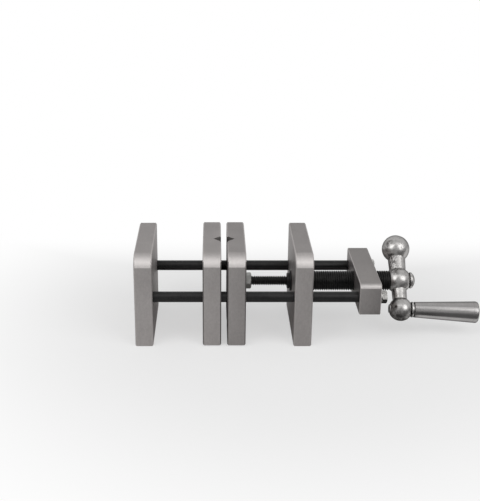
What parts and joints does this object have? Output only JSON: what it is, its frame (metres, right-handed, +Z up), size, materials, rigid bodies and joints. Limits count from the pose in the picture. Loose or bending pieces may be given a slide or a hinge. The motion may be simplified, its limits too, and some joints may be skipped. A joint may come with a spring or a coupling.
{
  "type": "centring vise",
  "caption": "Small steel self-centring vise: two upright jaws with V grooves close together from both sides as a ball crank turns one screw.",
  "frame": {"origin": "on the bench, halfway between the two end plates and at mid-depth: the centre of the four tapped holes in their undersides", "axes": "+X along the screw, from the left end plate to the crank; +Y to the back, the side away from the rounded top corners; +Z up from the bench"},
  "size_m": [0.3098, 0.091, 0.0856],
  "materials": {
    "ground_steel": "ground bar steel with fine upright grain",
    "black_rod": "smooth black oxide",
    "black_thread": "black oxide, lightly oiled",
    "plain_nut": "dull zinc plate",
    "bright_zinc": "bright zinc plate",
    "polished_casting": "tumbled and polished steel casting",
    "turned_steel": "turned, bright",
    "satin_grip": "satin, turned"
  },
  "bodies": {
    "base": {"left_end_plate": "ground_steel", "right_end_plate": "ground_steel"},
    "left_jaw_yoke": {"left_jaw": "ground_steel", "front_guide_rod": "black_rod", "rear_guide_rod": "black_rod", "yoke_block": "ground_steel", "rod_washers": "bright_zinc", "rod_nuts": "bright_zinc"},
    "right_jaw_slider": {"right_jaw": "ground_steel", "push_rod": "black_thread", "push_rod_lock_nut": "plain_nut"},
    "screw_and_crank": {"lead_screw": "black_thread", "thrust_washer": "black_thread", "retaining_collar": "black_thread", "crank_arm": "polished_casting", "crank_washer": "turned_steel", "crank_screw": "turned_steel", "spindle_ring": "turned_steel", "grip_spindle": "turned_steel"},
    "turning_grip": {"grip": "satin_grip"}
  },
  "joints": [
    {"name": "left_jaw_slide", "type": "slide", "parent": "base", "child": "left_jaw_yoke", "axis": [-1, 0, 0], "range_m": [-0.00255, 0.0318]},
    {"name": "right_jaw_slide", "type": "slide", "parent": "base", "child": "right_jaw_slider", "axis": [1, 0, 0], "range_m": [-0.00256, 0.03181]},
    {"name": "crank_turn", "type": "hinge", "parent": "base", "child": "screw_and_crank", "pos_m": [0, 0, 0.0447], "axis": [1, 0, 0], "range_deg": [-460, 5725]},
    {"name": "grip_spin", "type": "hinge", "parent": "screw_and_crank", "child": "turning_grip", "pos_m": [0.1611, -0.01994, 0.02476], "axis": [0.999, 0, -0.0454], "continuous": true}
  ],
  "couplings": [
    {"joint": "crank_turn", "follows": "left_jaw_slide", "rad_per_m": 3141.6},
    {"joint": "right_jaw_slide", "follows": "left_jaw_slide", "ratio": 1}
  ]
}
